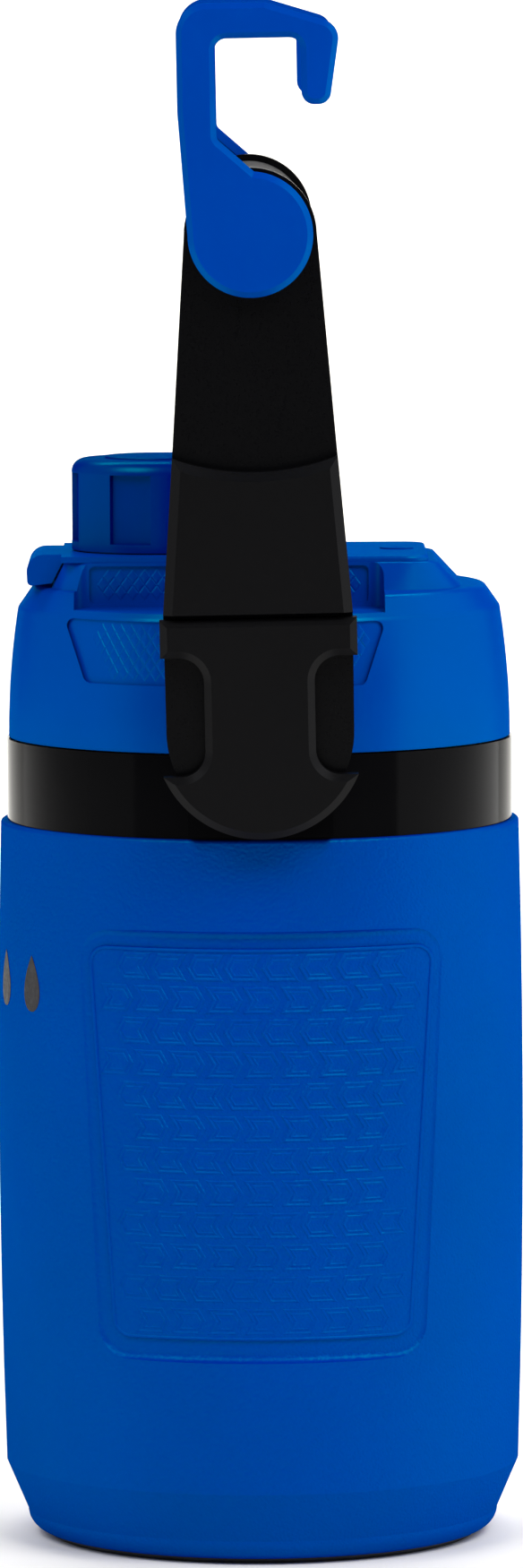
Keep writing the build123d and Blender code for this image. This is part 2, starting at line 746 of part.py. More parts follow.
def handle_screw_places():
    """Three screws round each hub, into the grip's core."""
    ring = (grip_core_bore + grip_core_radius) / 2
    places = []
    for step in range(hub_screws):
        turn = math.pi / 2 + 2 * math.pi * step / hub_screws
        places.append((ring * math.cos(turn), hub_z + ring * math.sin(turn)))
    return places


def cover_screw_places():
    """Two screws into the pivot cover and two into the sleeve, on each side."""
    cover_row = pivot_z + cover_top_rise - cover_shoulder / 2
    sleeve_row = pivot_z + sleeve_base_rise + cover_shoulder
    half = cover_neck_half
    return [(-half, cover_row), (half, cover_row), (-half, sleeve_row), (half, sleeve_row)]


def handle_screws():
    left = [screw(arm_inner, False, x, z) for x, z in handle_screw_places()]
    return left + [right_of(one) for one in left]


def cover_screws():
    left = [screw(arm_inner, True, x, z) for x, z in cover_screw_places()]
    return left + [right_of(one) for one in left]


# ---- hook pieces ----
def hook_plan():
    """The hook in (X, Z) about the hub: leg, top bar and finger."""
    plan = make_face(Polyline([
        (-hook_disc_radius, 0), (-leg_left, leg_straight_rise),
        (-leg_left, hook_reach), (bar_slope_start, hook_reach),
        (finger_right_top, hook_reach - bar_slope_drop), (finger_right_tip, finger_tip),
        (finger_left, finger_tip), (finger_left, bar_under),
        (-leg_right, bar_under), (-leg_right, leg_foot_rise),
        (slant_end_x, slant_end_rise)], close=True))
    near_top = plan.vertices().group_by(Axis.Y)[-1].sort_by(Axis.X)[0]
    plan = fillet(near_top, leg_corner)
    shoulder = [v for v in plan.vertices() if v.X > finger_right_top - spare]
    plan = fillet(shoulder, finger_corner)
    tip = [v for v in plan.vertices() if abs(v.Y - finger_tip) < touching]
    plan = fillet(tip, finger_tip_round)
    inner = [v for v in plan.vertices() if abs(v.Y - bar_under) < touching]
    plan = fillet(inner, throat_corner)
    foot = [v for v in plan.vertices() if abs(v.Y - leg_foot_rise) < touching]
    plan = fillet(foot, foot_corner)
    return plan + Circle(hook_disc_radius)


def hook():
    """Left hook: a plate hollow on its inner side, with the shaft that turns in the arm."""
    inner = arm_outer + hook_gap
    plan = Pos(0, hub_z) * hook_plan()
    plate = left_slab(plan, inner, outer_face)
    plate = chamfer(outer_face_edges(plate), hook_bevel)
    hollow = Pos(0, hub_z) * offset(hook_plan(), -hook_pocket_margin)
    pocket = left_slab(hollow, inner, outer_face - hook_wall)
    pocket -= left_rod(hook_boss_radius, inner, outer_face, 0, hub_z)
    plate -= pocket
    plate += left_rod(hook_shaft_radius, arm_inner - hook_shaft_inside, inner + hook_wall, 0, hub_z)
    return plate


def hook_clip():
    """Left retaining ring on the inner end of the hook's shaft."""
    outer = arm_inner - arm_gap
    ring = left_rod(hook_shaft_radius + clip_stand, outer - clip_height, outer, 0, hub_z)
    return ring - left_rod(hook_shaft_radius, 0, outer, 0, hub_z)


def arm_with_holes():
    """The arm bored for its screws."""
    plate = arm()
    for one in [screw(arm_inner, False, x, z) for x, z in handle_screw_places()]:
        plate -= one
    for one in [screw(arm_inner, True, x, z) for x, z in cover_screw_places()]:
        plate -= one
    return plate


def bored(piece, places, head_at_inner):
    for x, z in places:
        piece -= screw(arm_inner, head_at_inner, x, z)
    return piece


def save(name, piece):
    solids = piece if isinstance(piece, list) else piece.solids()
    export_step(Compound(children=list(solids)), os.path.join("parts", name + ".step"))


def save_pair(name, piece):
    save(name + "_left", piece)
    save(name + "_right", right_of(piece))


def main():
    os.makedirs("parts", exist_ok=True)
    save("outer_shell", outer_shell())
    save("foam_core", foam_core())
    save("inner_liner", inner_liner())
    save("base_foot", base_foot())
    save("neck_collar", neck_collar())
    save_pair("pivot_pin", pivot_pin())
    save("lid_shell", lid_shell())
    save("lid_liner", lid_liner())
    save("lid_foam", lid_foam())
    save("lid_gasket", lid_gasket())
    save("spout", spout())
    save("rear_strap", rear_strap())
    save("strap_rivet", strap_rivet())
    save("flap_hinge_pin", flap_hinge_pin())
    save("cap_flap", flap())
    save("cap_shell", cap_shell())
    save("cap_seal", cap_seal())
    core = grip_core()
    for one in [screw(arm_inner, False, x, z) for x, z in handle_screw_places()]:
        core -= one
        core -= right_of(one)
    save_pair("arm", lean(arm_with_holes()))
    save_pair("arm_sleeve", lean(bored(sleeve(), cover_screw_places(), True)))
    save_pair("pivot_cover", lean(bored(pivot_cover(), cover_screw_places(), True)))
    save("grip_core", lean(core))
    save("grip_sleeve", lean(grip_sleeve()))
    save("handle_screws", [lean(one) for one in handle_screws()])
    save("cover_screws", [lean(one) for one in cover_screws()])
    save_pair("hook", lean(hook()))
    save_pair("hook_clip", lean(hook_clip()))


if __name__ == "__main__":
    main()
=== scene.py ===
"""Looks of an insulated water jug: moulded texture, grips, marks, finishes and a plain studio."""
import math

import bmesh
import bpy
from bpy.props import FloatProperty, FloatVectorProperty, IntProperty, PointerProperty
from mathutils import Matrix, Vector


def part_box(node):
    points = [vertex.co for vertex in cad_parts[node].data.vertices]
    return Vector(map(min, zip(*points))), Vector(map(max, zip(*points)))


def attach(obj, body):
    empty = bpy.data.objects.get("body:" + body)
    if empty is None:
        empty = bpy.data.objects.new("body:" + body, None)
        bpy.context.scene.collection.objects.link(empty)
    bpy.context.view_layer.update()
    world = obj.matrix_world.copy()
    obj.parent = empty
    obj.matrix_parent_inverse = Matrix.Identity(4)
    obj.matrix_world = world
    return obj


bl_info = {
    "name": "Insulated Water Jug",
    "version": (1, 0, 0),
    "blender": (4, 5, 0),
    "location": "View3D > Sidebar > Jug",
    "description": "Adds the moulded texture, grips, marks, finishes and studio of an insulated jug",
    "category": "Add Mesh",
}

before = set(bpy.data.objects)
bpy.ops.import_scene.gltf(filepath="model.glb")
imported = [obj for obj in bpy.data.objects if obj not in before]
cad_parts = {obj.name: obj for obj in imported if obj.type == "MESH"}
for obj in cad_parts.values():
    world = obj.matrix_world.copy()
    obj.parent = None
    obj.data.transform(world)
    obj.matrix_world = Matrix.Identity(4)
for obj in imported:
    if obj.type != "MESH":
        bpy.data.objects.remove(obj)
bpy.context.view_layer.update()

MM = 0.001

# the body's barrel, and the pad raised on its flattened sides
SHELL_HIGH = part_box("outer_shell")[1]
BODY_RADIUS = SHELL_HIGH[0]
WIDEST_Z = 120 * MM
BARREL_BEND = 2.95      # radius of the barrel's side, seen from the front
PAD_CURVE = BODY_RADIUS + 6.5 * MM
PAD_DEPTH = 1.6 * MM
PAD_LOW = 60.8 * MM
PAD_HIGH = 164.4 * MM
PAD_HALF_LOW = 39.3 * MM
PAD_HALF_HIGH = 45.8 * MM
PAD_CORNER = 4.7 * MM
RIM_WIDTH = 1.3 * MM
RIM_POINT_SPACING = 3 * MM
CORNER_STEPS = 6

# the chevrons on the pad
CHEVRON_HALF = 3.65 * MM
CHEVRON_LENGTH = 8.3 * MM
CHEVRON_SLANT = 2.2 * MM
CHEVRON_ROW_PITCH = 8.5 * MM
CHEVRON_PITCH = 10.0 * MM
CHEVRON_MARGIN = 3.4 * MM

# the lid's grips
SKIRT_GRIP_LOW = 233.9 * MM
SKIRT_GRIP_HIGH = 248.9 * MM
GRIP_SHIFT = -9.2 * MM
SKIRT_RADIUS_LOW = 65.47 * MM
SKIRT_RADIUS_HIGH = 63.9 * MM
STRIP_FACE = 30.2 * MM
STRIP_LOW = 252.9 * MM
STRIP_HIGH = 262.2 * MM
STRIP_SHIFT = -8 * MM
SKIRT_HALF_LOW = 35.6 * MM
SKIRT_HALF_HIGH = 41.0 * MM
STRIP_HALF = 36.0 * MM
SCALE_TALL = 1.35              # height of a scale over its width
SCALE_ROW_GAP = 0.06 * MM
SCALE_COLUMN_GAP = 0.09 * MM

# the bumper on the slanted front of the lid's deck
DECK_FRONT = -51.4 * MM
DECK_SLOPE = 8.0 / 15.6        # forward for each step down
BUMPER_HALF = 12 * MM
BUMPER_LOW = 257.6 * MM
BUMPER_HIGH = 263.0 * MM
BUMPER_SINK = 0.3 * MM
BUMPER_STAND = 0.58 * MM
BUMPER_ROUND = 0.12 * MM

# the droplets printed on the front
DROPLETS = 5
DROPLET_SPREAD = math.radians(15.0)
DROPLET_Z = 152 * MM
DROPLET_WIDTH = 0.36           # of the height, to each side
DROPLET_POINTS = 28
INK_SINK = 0.05 * MM
INK_STAND = 0.03 * MM

# the studio, in metres and watts
SENSOR_WIDTH = 36.0
LENS = 226.7
VIEW_END = 60.0
VIEW_CENTRE = (0.0005, 0.0, 0.2018)
FLOOR_FRONT = -1.8
FLOOR_HALF = 2.4
WALL_Y = 3.3
WALL_TOP = 1.5
WALL_HALF = 1.2
WALL_CURVE = 0.6
WALL_STEPS = 16
PAPER = (0.97, 0.95, 0.9)
JUG_MIDDLE = (0.0, 0.0, 0.2)
LIGHTS = (                     # name, place, target, width and height, power
    ("key", (0.95, -1.15, 1.65), JUG_MIDDLE, (1.2, 1.0), 27.0),
    ("fill", (-0.95, -1.05, 1.6), JUG_MIDDLE, (1.2, 1.0), 17.0),
    ("right_panel", (1.1, 0.35, 0.8), (0.0, 0.35, 0.8), (1.8, 1.6), 10.0),
    ("left_panel", (-1.1, 0.2, 0.8), (0.0, 0.2, 0.8), (1.8, 1.6), 4.5),
    ("back_panel", (0.0, 1.2, 1.9), (0.0, 2.4, 0.2), (2.4, 0.9), 90.0),
)
SKY = (0.85, 0.9, 1.0, 1.0)
SKY_STRENGTH = 0.1

# fixed colours of the hidden and small pieces
FOOT_BLACK = (0.02, 0.021, 0.023)
GRIP_BLACK = (0.012, 0.012, 0.013)
SILICONE = (0.72, 0.73, 0.74)
FOAM = (0.78, 0.74, 0.6)
STEEL = (0.62, 0.62, 0.64)


# ---------------------------------------------------------------- shader maths
class Term:
    """A node's output that can be added, subtracted and multiplied."""

    def __init__(self, shade, socket):
        self.shade = shade
        self.socket = socket

    def _math(self, operation, first, second):
        values = {0: first, 1: second}
        return self.shade.node("ShaderNodeMath", {"operation": operation}, values)

    def __add__(self, other):
        return self._math("ADD", self, other)

    def __mul__(self, other):
        return self._math("MULTIPLY", self, other)

    def __sub__(self, other):
        return self._math("SUBTRACT", self, other)

    def __rsub__(self, other):
        return self._math("SUBTRACT", other, self)

    __radd__ = __add__
    __rmul__ = __mul__


class Shade:
    """A node material while it is being built."""

    def __init__(self, name):
        self.material = bpy.data.materials.new(name)
        self.material.use_nodes = True
        self.tree = self.material.node_tree
        self.tree.nodes.clear()

    def node(self, kind, settings=None, values=None, out=0):
        """Adds a node: its settings first, then the values or links of its sockets."""
        made = self.tree.nodes.new(kind)
        for key, value in (settings or {}).items():
            if key == "stops":
                set_stops(made.color_ramp, value)
            else:
                setattr(made, key, value)
        for key, value in (values or {}).items():
            if isinstance(value, Term):
                self.tree.links.new(value.socket, made.inputs[key])
            else:
                made.inputs[key].default_value = value
        return Term(self, made.outputs[out]) if made.outputs else None

    def place(self, stretch=(1.0, 1.0, 1.0)):
        """Object coordinates, stretched."""
        here = self.node("ShaderNodeTexCoord", out="Object")
        return self.node("ShaderNodeMapping", None, {"Vector": here, "Scale": stretch})

    def noise(self, where, scale, detail=2.0, roughness=0.5):
        values = {"Vector": where, "Scale": scale, "Detail": detail, "Roughness": roughness}
        return self.node("ShaderNodeTexNoise", None, values)

    def cells(self, where, scale, randomness=1.0):
        values = {"Vector": where, "Scale": scale, "Randomness": randomness}
        return self.node("ShaderNodeTexVoronoi", {"feature": "SMOOTH_F1"}, values)

    def ramp(self, value, *stops):
        return self.node("ShaderNodeValToRGB", {"stops": stops}, {"Fac": value})

    def mix(self, factor, first, second):
        """A colour between two, by a factor."""
        colours = {6: (*first, 1.0), 7: (*second, 1.0)}
        return self.node("ShaderNodeMix", {"data_type": "RGBA"}, {0: factor, **colours}, out=2)

    def bump(self, height, distance, strength=1.0, over=None):
        values = {"Height": height, "Distance": distance, "Strength": strength}
        if over is not None:
            values["Normal"] = over
        return self.node("ShaderNodeBump", None, values)

    def finish(self, sheen=None, **values):
        """Ends the material in one Principled shader, under an even tinted sheen if one is given."""
        sockets = {SOCKETS.get(key, key.replace("_", " ").title()): value for key, value in values.items()}
        surface = self.node("ShaderNodeBsdfPrincipled", None, sockets)
        if sheen is not None:
            tint, amount = sheen
            shine = {"Color": tint, "Roughness": values["roughness"], "Normal": values["normal"]}
            gloss = self.node("ShaderNodeBsdfGlossy", None, shine)
            surface = self.node("ShaderNodeMixShader", None, {0: amount, 1: surface, 2: gloss})
        self.node("ShaderNodeOutputMaterial", None, {"Surface": surface})
        return self.material


SOCKETS = {"ior": "IOR", "specular": "Specular IOR Level", "subsurface": "Subsurface Weight"}
# an even sheen's tint and share, so that reflections at a low angle don't whiten the plastic
BLUE_SHEEN = ((0.0, 0.45, 0.48, 1.0), 0.1)
BLACK_SHEEN = ((0.95, 0.95, 1.0, 1.0), 0.008)


def set_stops(ramp, stops):
    while len(ramp.elements) < len(stops):
        ramp.elements.new(1.0)
    for element, (position, grey) in zip(ramp.elements, stops):
        element.position = position
        element.color = (grey, grey, grey, 1.0)


def shade_of(colour, factor):
    return tuple(channel * factor for channel in colour)


# ---------------------------------------------------------------- materials
def pebbled_plastic(name, colour, pebble, depth, roughness):
    """Moulded plastic with a fine pebble, a little uneven in colour and sheen."""
    shade = Shade(name)
    where = shade.place()
    broad = shade.noise(where, scale=14.0, detail=3.0)
    fine = shade.noise(where, scale=900.0, detail=2.0)
    grain = shade.cells(where, scale=pebble)
    tint = shade.ramp(broad * 0.75 + fine * 0.25, (0.3, 0.0), (0.7, 1.0))
    height = shade.ramp(grain, (0.0, 1.0), (0.75, 0.0)) * 0.8 + fine * 0.2
    rubbed = shade.noise(where, scale=45.0, detail=4.0, roughness=0.6)
    return shade.finish(
        base_color=shade.mix(tint, shade_of(colour, 0.9), shade_of(colour, 1.08)),
        roughness=roughness + (rubbed - 0.5) * 0.16,
        specular=0.0,
        sheen=BLUE_SHEEN,
        normal=shade.bump(height, distance=depth, strength=0.7),
    )


def smooth_plastic(name, colour, roughness, sheen=None, specular=0.0):
    """Smooth semi-gloss plastic: a faint ripple from the mould and fine handling marks."""
    shade = Shade(name)
    where = shade.place()
    ripple = shade.noise(where, scale=60.0, detail=2.0)
    streak = shade.noise(shade.place((1.0, 1.0, 0.15)), scale=900.0, detail=3.0, roughness=0.65)
    marks = shade.ramp(streak, (0.55, 0.0), (0.8, 1.0))
    tint = shade.ramp(shade.noise(where, scale=18.0, detail=3.0), (0.3, 0.0), (0.7, 1.0))
    soft = shade.bump(ripple, distance=0.12 * MM, strength=0.5)
    fine = shade.noise(where, scale=1800.0, detail=1.0)
    return shade.finish(
        base_color=shade.mix(tint, shade_of(colour, 0.93), shade_of(colour, 1.06)),
        roughness=roughness + marks * 0.1 + (ripple - 0.5) * 0.05,
        specular=specular,
        sheen=sheen,
        normal=shade.bump(fine, distance=0.012 * MM, strength=0.6, over=soft),
    )


def band_plastic(name, colour):
    """Polished black plastic with dust-fine scratches along the band."""
    shade = Shade(name)
    around = shade.place((0.2, 0.2, 6.0))
    lines = shade.noise(around, scale=420.0, detail=4.0, roughness=0.7)
    scratch = shade.ramp(lines, (0.58, 0.0), (0.78, 1.0))
    haze = shade.noise(shade.place(), scale=30.0, detail=3.0)
    ripple = shade.noise(shade.place(), scale=90.0, detail=1.0)
    return shade.finish(
        base_color=shade.mix(haze, shade_of(colour, 0.6), shade_of(colour, 1.0)),
        roughness=0.08 + scratch * 0.1 + haze * 0.04,
        specular=0.045,
        normal=shade.bump(ripple, distance=0.02 * MM, strength=0.5),
    )


def grained_plastic(name, colour, roughness, depth):
    """Black plastic with a spark-eroded grain and scuffs."""
    shade = Shade(name)
    where = shade.place()
    grain = shade.noise(where, scale=1500.0, detail=3.0, roughness=0.6)
    worn = shade.noise(shade.place((1.0, 1.0, 0.35)), scale=260.0, detail=5.0, roughness=0.7)
    scuff = shade.ramp(worn, (0.6, 0.0), (0.75, 1.0))
    cloud = shade.noise(where, scale=25.0, detail=3.0)
    return shade.finish(
        base_color=shade.mix(cloud * 0.7 + scuff * 0.3, shade_of(colour, 0.35), shade_of(colour, 0.8)),
        roughness=roughness + (grain - 0.5) * 0.2 - scuff * 0.06,
        specular=0.04,
        sheen=BLACK_SHEEN,
        normal=shade.bump(grain, distance=depth, strength=0.6),
    )


def rubber(name, colour, roughness):
    """Soft rubber with a dry, dusty surface."""
    shade = Shade(name)
    where = shade.place()
    dust = shade.ramp(shade.noise(where, scale=120.0, detail=6.0, roughness=0.7), (0.45, 0.0), (0.8, 1.0))
    grain = shade.cells(where, scale=1100.0)
    return shade.finish(
        base_color=shade.mix(dust, colour, tuple(channel + 0.02 for channel in colour)),
        roughness=roughness + dust * 0.1,
        specular=0.25,
        normal=shade.bump(grain, distance=0.05 * MM, strength=0.5),
    )


def silicone(name, colour):
    """Cloudy soft silicone."""
    shade = Shade(name)
    where = shade.place()
    cloud = shade.noise(where, scale=70.0, detail=3.0)
    return shade.finish(
        base_color=shade.mix(cloud, shade_of(colour, 0.92), colour),
        roughness=0.4 + cloud * 0.15,
        subsurface=0.2,
        normal=shade.bump(shade.noise(where, scale=700.0), distance=0.02 * MM, strength=0.4),
    )


def foam(name, colour):
    """Rigid foam with an open, speckled surface."""
    shade = Shade(name)
    where = shade.place()
    pores = shade.cells(where, scale=700.0)
    speck = shade.ramp(pores, (0.1, 0.0), (0.6, 1.0))
    return shade.finish(
        base_color=shade.mix(speck, shade_of(colour, 0.75), colour),
        roughness=0.8 + speck * 0.15,
        normal=shade.bump(pores, distance=0.3 * MM, strength=0.8),
    )


def brushed_steel(name, colour):
    """Turned steel with fine circular brushing."""
    shade = Shade(name)
    lines = shade.noise(shade.place((1.0, 14.0, 1.0)), scale=900.0, detail=4.0, roughness=0.7)
    return shade.finish(
        base_color=shade.mix(lines, shade_of(colour, 0.85), colour),
        metallic=1.0,
        roughness=0.25 + lines * 0.2,
        normal=shade.bump(lines, distance=0.01 * MM, strength=0.4),
    )


def print_ink(name, colour):
    """Printed ink, worn thin in small spots."""
    shade = Shade(name)
    where = shade.place()
    wear = shade.ramp(shade.noise(where, scale=700.0, detail=4.0, roughness=0.7), (0.35, 0.0), (0.6, 1.0))
    return shade.finish(
        base_color=shade.mix(wear, shade_of(colour, 1.5), colour),
        roughness=0.45 + wear * 0.12,
        specular=0.3,
        normal=shade.bump(wear, distance=0.01 * MM, strength=0.5),
    )


def studio_paper(name, colour):
    """Seamless pale paper."""
    shade = Shade(name)
    fibre = shade.noise(shade.place(), scale=160.0, detail=5.0, roughness=0.7)
    return shade.finish(
        base_color=shade.mix(fibre, shade_of(colour, 0.985), colour),
        roughness=0.9,
        specular=0.1,
        normal=shade.bump(fibre, distance=0.05 * MM, strength=0.3),
    )


# ---------------------------------------------------------------- geometry trees
class Tree:
    """A geometry node tree while it is being built."""

    def __init__(self, name, inputs):
        self.tree = bpy.data.node_groups.new(name, "GeometryNodeTree")
        face = self.tree.interface
        face.new_socket("Geometry", in_out="INPUT", socket_type="NodeSocketGeometry")
        for label, kind in inputs.items():
            face.new_socket(label, in_out="INPUT", socket_type=kind)
        face.new_socket("Geometry", in_out="OUTPUT", socket_type="NodeSocketGeometry")
        self.source = self.tree.nodes.new("NodeGroupInput")
        self.sink = self.tree.nodes.new("NodeGroupOutput")

    def node(self, kind, settings=None, values=None, out=0):
        made = self.tree.nodes.new(kind)
        for key, value in (settings or {}).items():
            setattr(made, key, value)
        for key, value in (values or {}).items():
            if isinstance(value, Step):
                self.tree.links.new(value.socket, made.inputs[key])
            else:
                made.inputs[key].default_value = value
        return Step(self, made.outputs[out])

    def given(self, label):
        return Step(self, self.source.outputs[label])

    def close(self, geometry, material):
        """Ends the tree in real geometry with its material."""
        real = self.node("GeometryNodeRealizeInstances", None, {0: geometry})
        done = self.node("GeometryNodeSetMaterial", None, {0: real, "Material": material})
        self.tree.links.new(done.socket, self.sink.inputs[0])


class Step:
    """A geometry tree's output that arithmetic can be written with."""

    def __init__(self, tree, socket):
        self.tree = tree
        self.socket = socket

    def _math(self, operation, *values):
        return self.tree.node("ShaderNodeMath", {"operation": operation}, dict(enumerate(values)))

    def __add__(self, other):
        return self._math("ADD", self, other)

    def __sub__(self, other):
        return self._math("SUBTRACT", self, other)

    def __rsub__(self, other):
        return self._math("SUBTRACT", other, self)

    def __mul__(self, other):
        return self._math("MULTIPLY", self, other)

    def __truediv__(self, other):
        return self._math("DIVIDE", self, other)

    __rmul__ = __mul__
    __radd__ = __add__

    def sine(self):
        return self._math("SINE", self)

    def cosine(self):
        return self._math("COSINE", self)

    def rounded(self):
        return self._math("ROUND", self)

    def modulo(self, other):
        return self._math("FLOORED_MODULO", self, other)

    def least(self, other):
        return self._math("MINIMUM", self, other)

    def root(self):
        return self._math("SQRT", self)

    def size(self):
        return self._math("ABSOLUTE", self)


FLOAT = "NodeSocketFloat"
COUNT = "NodeSocketInt"
MATERIAL = "NodeSocketMaterial"
PATTERN_INPUTS = {
    "Rows": COUNT, "Columns": COUNT, "Row pitch": FLOAT, "Column pitch": FLOAT, "Row shift": FLOAT,
    "Turn odd rows": FLOAT, "Middle height": FLOAT, "Half width low": FLOAT, "Half width high": FLOAT,
    "Shift": FLOAT, "Side": FLOAT, "Material": MATERIAL,
}


def flat_pattern(tree):
    """Instances of the given tile on a grid, realized; returns geometry and its flat coordinates."""
    rows = tree.given("Rows")
    columns = tree.given("Columns")
    row_pitch = tree.given("Row pitch")
    width = (columns - 1) * tree.given("Column pitch")
    height = (rows - 1) * row_pitch
    grid = tree.node("GeometryNodeMeshGrid", None, {
        "Size X": width, "Size Y": height, "Vertices X": columns, "Vertices Y": rows})
    here = tree.node("GeometryNodeInputPosition")
    along = tree.node("ShaderNodeSeparateXYZ", None, {0: here}, out=1)
    odd = ((along + height / 2.0) / row_pitch).rounded().modulo(2.0)
    turn = tree.node("ShaderNodeCombineXYZ", None, {2: odd * tree.given("Turn odd rows")})
    shift = tree.node("ShaderNodeCombineXYZ", None, {0: odd * tree.given("Row shift")})
    moved = tree.node("GeometryNodeSetPosition", None, {"Geometry": grid, "Offset": shift})
    across = tree.node("ShaderNodeSeparateXYZ", None, {0: here}, out=0).size()
    share = (along + height / 2.0) / height
    low = tree.given("Half width low")
    reach = low + share * (tree.given("Half width high") - low)
    outside = tree.node("FunctionNodeCompare", {"operation": "GREATER_THAN"}, {0: across, 1: reach})
    kept = tree.node("GeometryNodeDeleteGeometry", None, {"Geometry": moved, "Selection": outside})
    tiles = tree.node("GeometryNodeInstanceOnPoints", None, {
        "Points": kept, "Instance": tree.given("Geometry"), "Rotation": turn})
    return tree.node("GeometryNodeRealizeInstances", None, {0: tiles})


def flat_coordinates(tree):
    here = tree.node("GeometryNodeInputPosition")
    return [tree.node("ShaderNodeSeparateXYZ", None, {0: here}, out=index) for index in range(3)]


def set_places(tree, geometry, x, y, z):
    """Moves every point to a place on the side that the Side input names."""
    side = tree.given("Side")
    place = tree.node("ShaderNodeCombineXYZ", None, {0: x * side, 1: y * side, 2: z})
    return tree.node("GeometryNodeSetPosition", None, {"Geometry": geometry, "Position": place})


def barrel_tree():
    """Wraps the pattern on the body's pad, which lies on the barrel where the flat ends."""
    tree = Tree("Barrel pattern", PATTERN_INPUTS)
    geometry = flat_pattern(tree)
    across, up, rise = flat_coordinates(tree)
    z = up + tree.given("Middle height")
    offset = z - WIDEST_Z
    drop = offset * offset / (2 * BARREL_BEND)
    pad_radius = PAD_CURVE - drop
    angle = across / PAD_CURVE
    x = pad_radius * angle.sine()
    centre = PAD_CURVE + PAD_DEPTH - BODY_RADIUS
    pad_depth = pad_radius * angle.cosine() - centre
    body_radius = BODY_RADIUS - drop
    body_depth = (body_radius * body_radius - x * x).root()
    y = 0.0 - (pad_depth.least(body_depth) + rise)
    tree.close(set_places(tree, geometry, x, y, z), tree.given("Material"))
    return tree.tree


def skirt_tree():
    """Wraps the pattern on the lid's tapered skirt."""
    tree = Tree("Skirt pattern", PATTERN_INPUTS)
    geometry = flat_pattern(tree)
    across, up, rise = flat_coordinates(tree)
    z = up + tree.given("Middle height")
    taper = (SKIRT_RADIUS_LOW - SKIRT_RADIUS_HIGH) / (SKIRT_GRIP_HIGH - SKIRT_GRIP_LOW)
    radius = SKIRT_RADIUS_LOW - (z - SKIRT_GRIP_LOW) * taper + rise
    angle = (across + tree.given("Shift") * tree.given("Side")) / SKIRT_RADIUS_LOW
    x = radius * angle.sine()
    y = 0.0 - radius * angle.cosine()
    tree.close(set_places(tree, geometry, x, y, z), tree.given("Material"))
    return tree.tree


def wall_tree():
    """Stands the pattern on the flat wall of the lid's finger scoop."""
    tree = Tree("Wall pattern", PATTERN_INPUTS)
    geometry = flat_pattern(tree)
    across, up, rise = flat_coordinates(tree)
    x = across + tree.given("Shift") * tree.given("Side")
    y = 0.0 - (rise + STRIP_FACE)
    z = up + tree.given("Middle height")
    tree.close(set_places(tree, geometry, x, y, z), tree.given("Material"))
    return tree.tree


# ---------------------------------------------------------------- mesh helpers
def new_object(name, mesh):
    made = bpy.data.objects.new(name, mesh)
    bpy.context.scene.collection.objects.link(made)
    return made


def mesh_of(name, build):
    """A mesh object whose faces the given function adds."""
    shape = bmesh.new()
    build(shape)
    bmesh.ops.remove_doubles(shape, verts=shape.verts, dist=1e-7)
    bmesh.ops.recalc_face_normals(shape, faces=shape.faces)
    mesh = bpy.data.meshes.new(name)
    shape.to_mesh(mesh)
    shape.free()
    return new_object(name, mesh)


def bridge(shape, lower, upper):
    """Faces between two closed rings of the same number of corners."""
    for index in range(len(lower)):
        after = (index + 1) % len(lower)
        shape.faces.new((lower[index], lower[after], upper[after], upper[index]))


def smooth(piece):
    polygons = piece.data.polygons
    polygons.foreach_set("use_smooth", [True] * len(polygons))


def inset_outline(outline, distance):
    """A closed outline, anticlockwise, moved inwards with mitred corners."""
    moved = []
    for index, corner in enumerate(outline):
        before = outline[index - 1]
        after = outline[(index + 1) % len(outline)]
        first = (Vector(corner) - Vector(before)).normalized()
        second = (Vector(after) - Vector(corner)).normalized()
        normal_a = Vector((-first.y, first.x))
        normal_b = Vector((-second.y, second.x))
        mitre = (normal_a + normal_b) / (1.0 + normal_a.dot(normal_b))
        moved.append(tuple(Vector(corner) + mitre * distance))
    return moved


def stepped_tile(name, outline, steps):
    """A closed tile of nested outlines: each step is (inset, height)."""
    def build(shape):
        rings = []
        for inset, height in steps:
            ring = [shape.verts.new((x, y, height)) for x, y in inset_outline(outline, inset)]
            rings.append(ring)
        for lower, upper in zip(rings, rings[1:]):
            bridge(shape, lower, upper)
        shape.faces.new(rings[-1])
        shape.faces.new(list(reversed(rings[0])))
    return mesh_of(name, build)


def grown(tile, name, tree, values, body):
    """Runs a geometry tree on a tile and keeps the result as one plain mesh on a body."""
    modifier = tile.modifiers.new("pattern", "NODES")
    modifier.node_group = tree
    for item in tree.interface.items_tree:
        if item.in_out == "INPUT" and item.name in values:
            modifier[item.identifier] = values[item.name]
    bpy.context.view_layer.update()
    depsgraph = bpy.context.evaluated_depsgraph_get()
    mesh = bpy.data.meshes.new_from_object(tile.evaluated_get(depsgraph))
    mesh.name = name
    bpy.data.objects.remove(tile)
    made = new_object(name, mesh)
    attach(made, body)
    return made


def paint(finish, *nodes):
    for name in nodes:
        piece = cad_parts[name]
        piece.data.materials.clear()
        piece.data.materials.append(material(finish))


def material(name):
    return bpy.data.materials[name]


# ---------------------------------------------------------------- settings
class JugColours(bpy.types.PropertyGroup):
    body: FloatVectorProperty(
        name="Body", description="Colour of the pebbled body", subtype="COLOR", default=(0.0, 0.02, 0.33))
    lid: FloatVectorProperty(
        name="Lid", description="Colour of the lid, strap and hooks", subtype="COLOR",
        default=(0.0, 0.036, 0.365))
    cap: FloatVectorProperty(
        name="Cap", description="Colour of the spout's cap", subtype="COLOR", default=(0.0, 0.003, 0.22))
    black: FloatVectorProperty(
        name="Black", description="Colour of the handle and band", subtype="COLOR",
        default=(0.0022, 0.0022, 0.0028))
    mark: FloatVectorProperty(
        name="Mark", description="Colour of the printed droplets", subtype="COLOR",
        default=(0.006, 0.006, 0.01))
    pale: FloatVectorProperty(
        name="Liner", description="Colour of the liner and spout", subtype="COLOR", default=(0.8, 0.81, 0.82))


